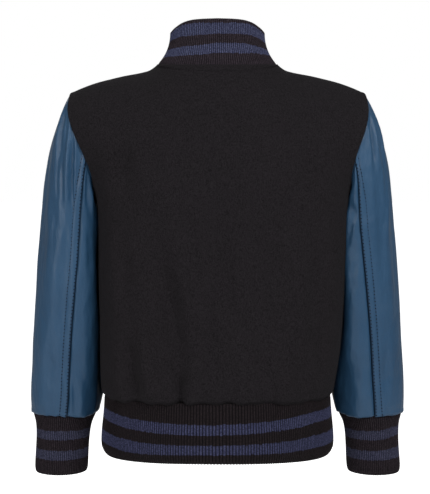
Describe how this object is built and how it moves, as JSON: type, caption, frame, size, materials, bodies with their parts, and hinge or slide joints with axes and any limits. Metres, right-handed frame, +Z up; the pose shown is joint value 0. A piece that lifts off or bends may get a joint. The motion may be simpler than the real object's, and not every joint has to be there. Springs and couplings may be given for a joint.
{
  "type": "varsity jacket",
  "caption": "Child's varsity jacket with a wool body, leather sleeves and striped rib collar, cuffs and waistband, filled out as worn.",
  "frame": {"origin": "between the shoulders, on the middle plane of the side and shoulder seams, at the height where the shoulder seams meet the collar", "axes": "+X to the wearer's left, -Y to the front, +Z up"},
  "size_m": [0.4174, 0.1934, 0.4948],
  "materials": {
    "wool": "black melton wool, matt with a short nap",
    "leather": "smooth fine-grained leather in steel blue, softly glossy",
    "rib": "black rib knit with two navy stripes",
    "snap": "dark enamelled snap cap"
  },
  "bodies": {
    "root": {"back_panel": "wool", "front_left": "wool", "front_right": "wool", "sleeve_left_upper": "leather", "sleeve_left_under": "leather", "sleeve_right_upper": "leather", "sleeve_right_under": "leather", "cuff_left": "rib", "cuff_right": "rib", "collar": "rib", "waistband": "rib", "snap_1": "snap", "snap_2": "snap", "snap_3": "snap", "snap_4": "snap", "snap_5": "snap", "snap_6": "snap"}
  },
  "joints": []
}
